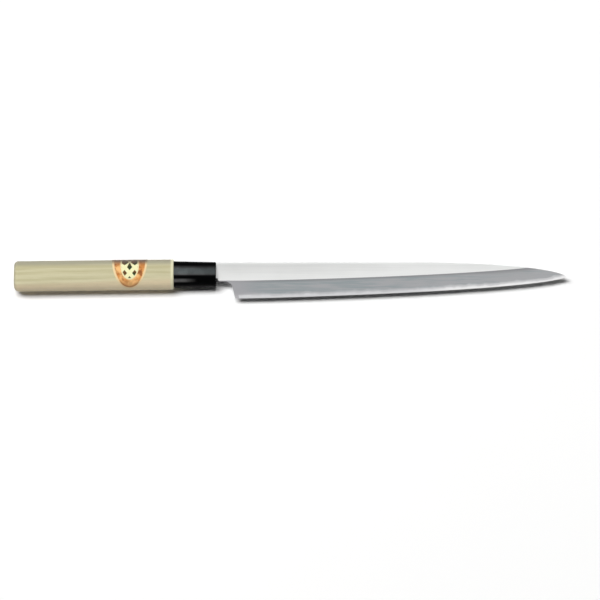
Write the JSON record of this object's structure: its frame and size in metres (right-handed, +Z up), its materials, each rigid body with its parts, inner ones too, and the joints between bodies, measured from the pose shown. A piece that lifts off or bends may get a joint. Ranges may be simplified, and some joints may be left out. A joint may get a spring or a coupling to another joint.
{
  "type": "fuguhiki knife",
  "caption": "Long narrow single-bevel knife for slicing raw fish very thin, with a hollow-ground back, a black ferrule and a labelled D-section wooden grip.",
  "frame": {"origin": "on the surface the knife lies on, under the middle of its box", "axes": "+X along the knife to the tip, +Y across it to the spine, +Z up to the bevel side; the knife lies on its left side"},
  "size_m": [0.4022, 0.0284, 0.0195],
  "materials": {
    "iron": "satin flat, misty grey bevel",
    "edge_steel": "finely polished",
    "horn": "polished black",
    "wood": "sanded, uncoated",
    "paper": "printed"
  },
  "bodies": {
    "root": {"blade_iron": "iron", "edge_steel": "edge_steel", "ferrule": "horn", "grip": "wood", "label": "paper"}
  },
  "joints": []
}
